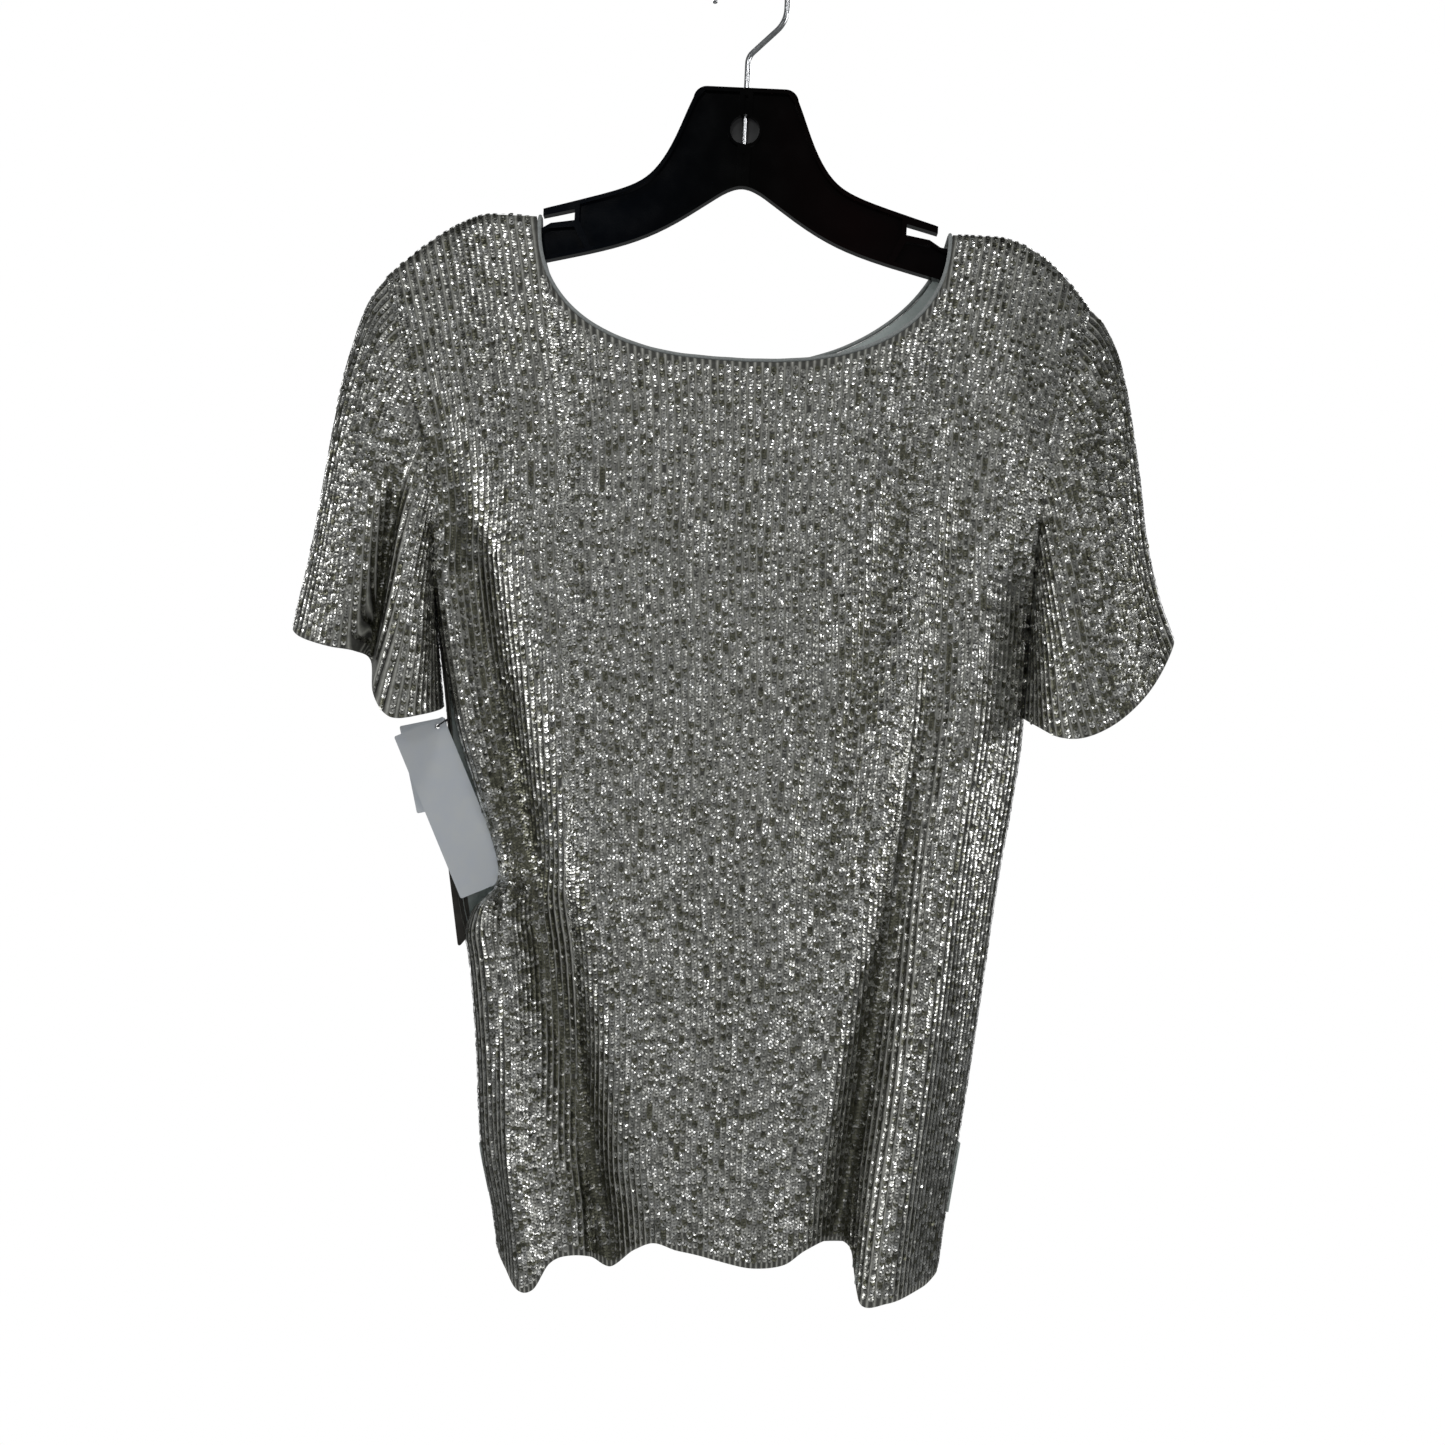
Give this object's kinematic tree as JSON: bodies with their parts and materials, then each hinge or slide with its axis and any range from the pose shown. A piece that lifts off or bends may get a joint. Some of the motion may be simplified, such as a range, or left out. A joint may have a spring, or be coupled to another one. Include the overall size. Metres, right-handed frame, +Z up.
{
  "type": "party top on hanger",
  "caption": "Short-sleeved silver sequin party top with a scoop neck, hung on a glossy black moulded hanger with a swivelling chromed hook and paper swing tags.",
  "frame": {"origin": "the seat of the hook, where the top of the rail touches the inside of the wire's crown line, on the swivel axis", "axes": "+Z up along the swivel axis, +X to the viewer's right along the shoulders, -Y to the viewer in front of the garment"},
  "size_m": [0.561, 0.1249, 0.843],
  "materials": {
    "chrome": "polished",
    "black_plastic": "gloss",
    "grey_plastic": "satin",
    "sequin_cloth": "silver sequins on knit",
    "knit": "knit",
    "lining": "smooth jersey",
    "binding": "rolled jersey",
    "label": "woven",
    "card": "coated paper card",
    "dark_card": "coated paper card",
    "filament": "nylon filament"
  },
  "bodies": {
    "hook": {"hook_wire": "chrome"},
    "hanger": {"hanger_frame": "black_plastic", "hook_lock_disc": "grey_plastic", "front_panel": "sequin_cloth", "back_panel": "sequin_cloth", "front_lining": "lining", "back_lining": "lining", "front_neck_binding": "binding", "back_neck_binding": "binding", "front_hem": "knit", "back_hem": "knit", "left_sleeve": "sequin_cloth", "right_sleeve": "sequin_cloth", "left_sleeve_hem": "knit", "right_sleeve_hem": "knit", "neck_label": "label", "size_label": "label", "care_label": "label", "tag_filament": "filament"},
    "tag_front": {"swing_tag_front": "card"},
    "tag_middle": {"swing_tag_middle": "card"},
    "tag_rear": {"swing_tag_rear": "dark_card"}
  },
  "joints": [
    {"name": "hook_swivel", "type": "hinge", "parent": "hook", "child": "hanger", "pos_m": [0, 0, -0.1], "axis": [0, 0, 1], "continuous": true},
    {"name": "tag_front_swing", "type": "hinge", "parent": "hanger", "child": "tag_front", "pos_m": [-0.179, -0.003, -0.503], "axis": [0, 1, 0], "range_deg": [0, 40]},
    {"name": "tag_middle_swing", "type": "hinge", "parent": "hanger", "child": "tag_middle", "pos_m": [-0.179, 0, -0.503], "axis": [0, 1, 0], "range_deg": [0, 40]},
    {"name": "tag_rear_swing", "type": "hinge", "parent": "hanger", "child": "tag_rear", "pos_m": [-0.179, 0.003, -0.503], "axis": [0, 1, 0], "range_deg": [0, 40]}
  ]
}
